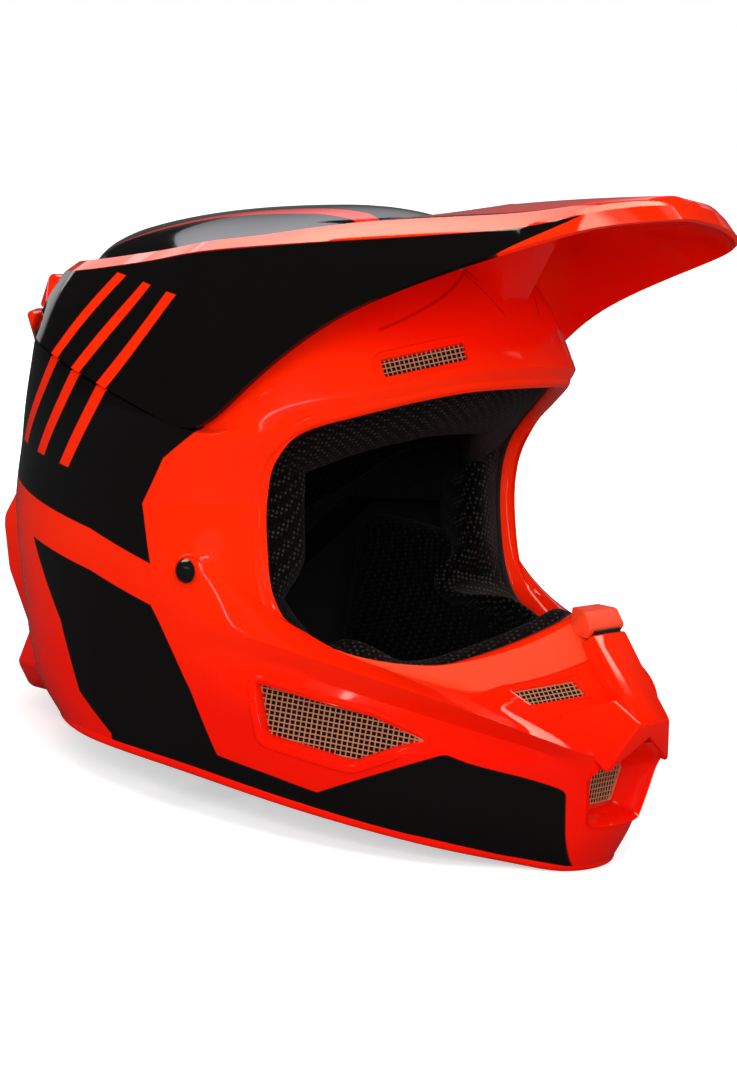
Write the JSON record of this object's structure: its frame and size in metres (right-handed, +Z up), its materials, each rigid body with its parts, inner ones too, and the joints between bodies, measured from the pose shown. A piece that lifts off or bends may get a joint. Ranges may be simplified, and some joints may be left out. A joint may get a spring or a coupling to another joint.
{
  "type": "motocross helmet",
  "caption": "Full-face off-road riding helmet with a long winged sun visor on magnets, an open eyeport, a vented chin bar, padded lining and a double-ring chin strap.",
  "frame": {"origin": "middle of the bounding box at the rest plane, z = 0 under the rim", "axes": "+X to the front of the helmet, +Y to the wearer's left, +Z up"},
  "size_m": [0.364, 0.2612, 0.3055],
  "materials": {
    "shell_paint": "glossy fluorescent orange paint with black panels",
    "visor_paint": "glossy black with an orange brim",
    "guard_rubber": "satin orange",
    "trim_rubber": "satin black",
    "foam": "matt black foam",
    "lining": "black knitted mesh cloth",
    "webbing": "black woven strap",
    "mesh": "bronze wire mesh",
    "steel": "plain steel",
    "rivet_black": "glossy black"
  },
  "bodies": {
    "helmet": {"outer_shell": "shell_paint", "impact_liner": "foam", "chin_liner": "foam", "crown_pad": "lining", "cheek_pad_left": "lining", "cheek_pad_right": "lining", "neck_roll": "lining", "magnet_plates": "steel", "nose_guard": "guard_rubber", "eyeport_trim": "trim_rubber", "mouth_vent": "shell_paint", "mouth_duct": "shell_paint", "mouth_meshes": "mesh", "side_mesh_left": "mesh", "side_mesh_right": "mesh", "brow_mesh_left": "mesh", "brow_mesh_right": "mesh", "rear_spoiler": "shell_paint", "rear_diffuser": "shell_paint", "rim_trim": "shell_paint", "strap_rivets": "rivet_black", "rivet_washers": "steel", "strap_long": "webbing", "strap_short": "webbing"},
    "visor_body": {"visor": "visor_paint", "visor_mount": "shell_paint", "visor_magnets": "steel"},
    "upper_ring": {"ring_upper": "steel"},
    "lower_ring": {"ring_lower": "steel"}
  },
  "joints": [
    {"name": "visor_release", "type": "slide", "parent": "helmet", "child": "visor_body", "axis": [0.2501, 0, 0.9682], "range_m": [0, 0.09]},
    {"name": "upper_ring_swing", "type": "hinge", "parent": "helmet", "child": "upper_ring", "pos_m": [0.006, 0.05, 0.015], "axis": [-1, 0, 0], "range_deg": [0, 70]},
    {"name": "lower_ring_swing", "type": "hinge", "parent": "helmet", "child": "lower_ring", "pos_m": [0.006, 0.05, 0.009], "axis": [-1, 0, 0], "range_deg": [-15, 0]}
  ]
}
